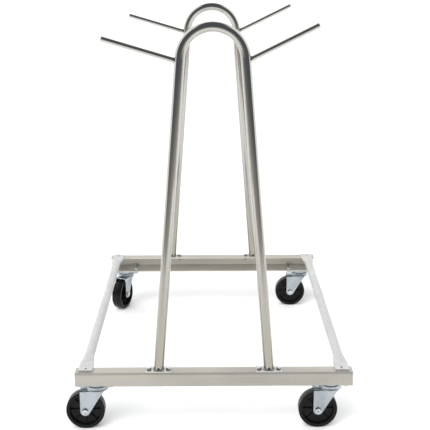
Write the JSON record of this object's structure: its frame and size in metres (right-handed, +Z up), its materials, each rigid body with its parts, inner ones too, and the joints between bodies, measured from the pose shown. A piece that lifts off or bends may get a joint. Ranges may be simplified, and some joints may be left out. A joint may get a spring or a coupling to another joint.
{
  "type": "four-prong hoop trolley",
  "caption": "Low wheeled trolley: open base of channel rails and tubes on swivel casters, with leaning U-shaped hoops that carry outward prongs.",
  "frame": {"origin": "on the floor, under the middle of the footprint, the trailing wheels included", "axes": "+Z up, -Y to the front rail, +X to the right as seen from the front; X is the short side and Z the tallest extent"},
  "size_m": [0.7418, 1.016, 1.0464],
  "materials": {
    "rail": "formed zinc-coated steel sheet, satin",
    "side_tube": "galvanised steel tube, matte",
    "hoop": "bright plated steel tube",
    "prong": "bright plated steel rod",
    "foot_plate": "plated steel",
    "fastener": "bright zinc-plated steel",
    "caster_steel": "bluish zinc-plated pressed steel",
    "bearing_steel": "plain steel",
    "wheel": "glossy black hard plastic"
  },
  "bodies": {
    "base": {"front_rail": "rail", "rear_rail": "rail", "left_side_rail": "side_tube", "right_side_rail": "side_tube", "side_rail_rivets": "fastener", "front_hoop": "hoop", "rear_hoop": "hoop", "prong_front_left": "prong", "prong_front_right": "prong", "prong_rear_left": "prong", "prong_rear_right": "prong", "foot_plate_front_left": "foot_plate", "foot_plate_front_right": "foot_plate", "foot_plate_rear_left": "foot_plate", "foot_plate_rear_right": "foot_plate", "foot_bolts": "fastener", "foot_nuts": "fastener", "caster_bolts": "fastener", "caster_nuts": "fastener", "caster_plate_fl": "caster_steel", "kingpin_fl": "bearing_steel", "caster_plate_fr": "caster_steel", "kingpin_fr": "bearing_steel", "caster_plate_rl": "caster_steel", "kingpin_rl": "bearing_steel", "caster_plate_rr": "caster_steel", "kingpin_rr": "bearing_steel"},
    "swivel_fl": {"fork_fl": "caster_steel", "race_balls_fl": "bearing_steel", "axle_bolt_fl": "fastener", "axle_nut_fl": "fastener", "axle_bushing_fl": "bearing_steel"},
    "wheel_fl": {"wheel_fl": "wheel"},
    "swivel_fr": {"fork_fr": "caster_steel", "race_balls_fr": "bearing_steel", "axle_bolt_fr": "fastener", "axle_nut_fr": "fastener", "axle_bushing_fr": "bearing_steel"},
    "wheel_fr": {"wheel_fr": "wheel"},
    "swivel_rl": {"fork_rl": "caster_steel", "race_balls_rl": "bearing_steel", "axle_bolt_rl": "fastener", "axle_nut_rl": "fastener", "axle_bushing_rl": "bearing_steel"},
    "wheel_rl": {"wheel_rl": "wheel"},
    "swivel_rr": {"fork_rr": "caster_steel", "race_balls_rr": "bearing_steel", "axle_bolt_rr": "fastener", "axle_nut_rr": "fastener", "axle_bushing_rr": "bearing_steel"},
    "wheel_rr": {"wheel_rr": "wheel"}
  },
  "joints": [
    {"name": "swivel_fl", "type": "hinge", "parent": "base", "child": "swivel_fl", "pos_m": [-0.28832, -0.463, 0.111], "axis": [0, 0, 1], "continuous": true},
    {"name": "roll_fl", "type": "hinge", "parent": "swivel_fl", "child": "wheel_fl", "pos_m": [-0.32007, -0.463, 0.0508], "axis": [0, 1, 0], "continuous": true},
    {"name": "swivel_fr", "type": "hinge", "parent": "base", "child": "swivel_fr", "pos_m": [0.31888, -0.463, 0.111], "axis": [0, 0, 1], "continuous": true},
    {"name": "roll_fr", "type": "hinge", "parent": "swivel_fr", "child": "wheel_fr", "pos_m": [0.28713, -0.463, 0.0508], "axis": [0, 1, 0], "continuous": true},
    {"name": "swivel_rl", "type": "hinge", "parent": "base", "child": "swivel_rl", "pos_m": [-0.28832, 0.463, 0.111], "axis": [0, 0, 1], "continuous": true},
    {"name": "roll_rl", "type": "hinge", "parent": "swivel_rl", "child": "wheel_rl", "pos_m": [-0.30022, 0.43356, 0.0508], "axis": [-0.9272, 0.3746, 0], "continuous": true},
    {"name": "swivel_rr", "type": "hinge", "parent": "base", "child": "swivel_rr", "pos_m": [0.31888, 0.463, 0.111], "axis": [0, 0, 1], "continuous": true},
    {"name": "roll_rr", "type": "hinge", "parent": "swivel_rr", "child": "wheel_rr", "pos_m": [0.28713, 0.463, 0.0508], "axis": [0, 1, 0], "continuous": true}
  ]
}
